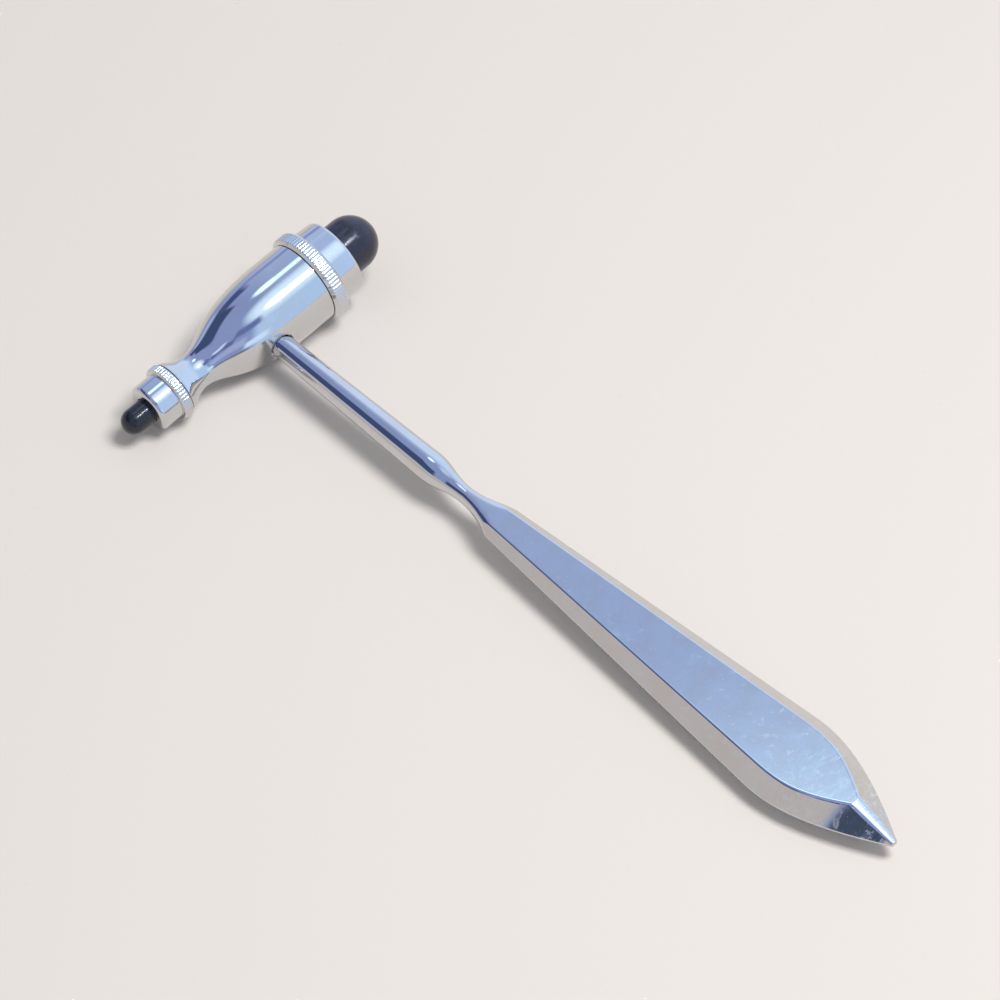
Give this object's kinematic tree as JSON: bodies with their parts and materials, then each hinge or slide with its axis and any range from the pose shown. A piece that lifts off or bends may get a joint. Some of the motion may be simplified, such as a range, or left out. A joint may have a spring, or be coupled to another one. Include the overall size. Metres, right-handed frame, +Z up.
{
  "type": "reflex hammer",
  "caption": "Neurological reflex hammer: bottle-shaped metal head with rubber buffers under knurled screw collars, round stem and long flat bevelled grip with a pointed end.",
  "frame": {"origin": "on the table under the middle of the hammer's bounding box, as it lies at rest on both knurled rings and the lower edge of the grip", "axes": "+Z up from the table, handle pointing along -Y from the head, head running along X with its large end towards +X and raised by the rest tilt"},
  "size_m": [0.0872, 0.2452, 0.0259],
  "materials": {
    "chrome_head": "polished chrome plate",
    "chrome_handle": "polished chrome plate with light handling smudges",
    "chrome_collars": "polished chrome plate over straight knurling",
    "rubber_large": "smooth black rubber, satin",
    "rubber_small": "smooth black rubber, slightly glossy"
  },
  "bodies": {
    "head": {"head_body": "chrome_head", "handle": "chrome_handle"},
    "large_buffer": {"large_buffer": "rubber_large"},
    "large_collar": {"large_collar": "chrome_collars"},
    "small_buffer": {"small_buffer": "rubber_small"},
    "small_collar": {"small_collar": "chrome_collars"}
  },
  "joints": [
    {"name": "large_collar_travel", "type": "slide", "parent": "head", "child": "large_buffer", "axis": [0.9962, 0, 0.0876], "range_m": [0, 0.006]},
    {"name": "large_collar_turn", "type": "hinge", "parent": "large_buffer", "child": "large_collar", "pos_m": [0.00194, 0.10967, 0.01121], "axis": [0.9962, 0, 0.0876], "range_deg": [0, 2160]},
    {"name": "small_collar_travel", "type": "slide", "parent": "head", "child": "small_buffer", "axis": [-0.9962, 0, -0.0876], "range_m": [0, 0.0045]},
    {"name": "small_collar_turn", "type": "hinge", "parent": "small_buffer", "child": "small_collar", "pos_m": [0.00194, 0.10967, 0.01121], "axis": [-0.9962, 0, -0.0876], "range_deg": [0, 2160]}
  ],
  "couplings": [
    {"joint": "large_collar_turn", "follows": "large_collar_travel", "rad_per_m": 6283.2},
    {"joint": "small_collar_turn", "follows": "small_collar_travel", "rad_per_m": 8377.6}
  ]
}
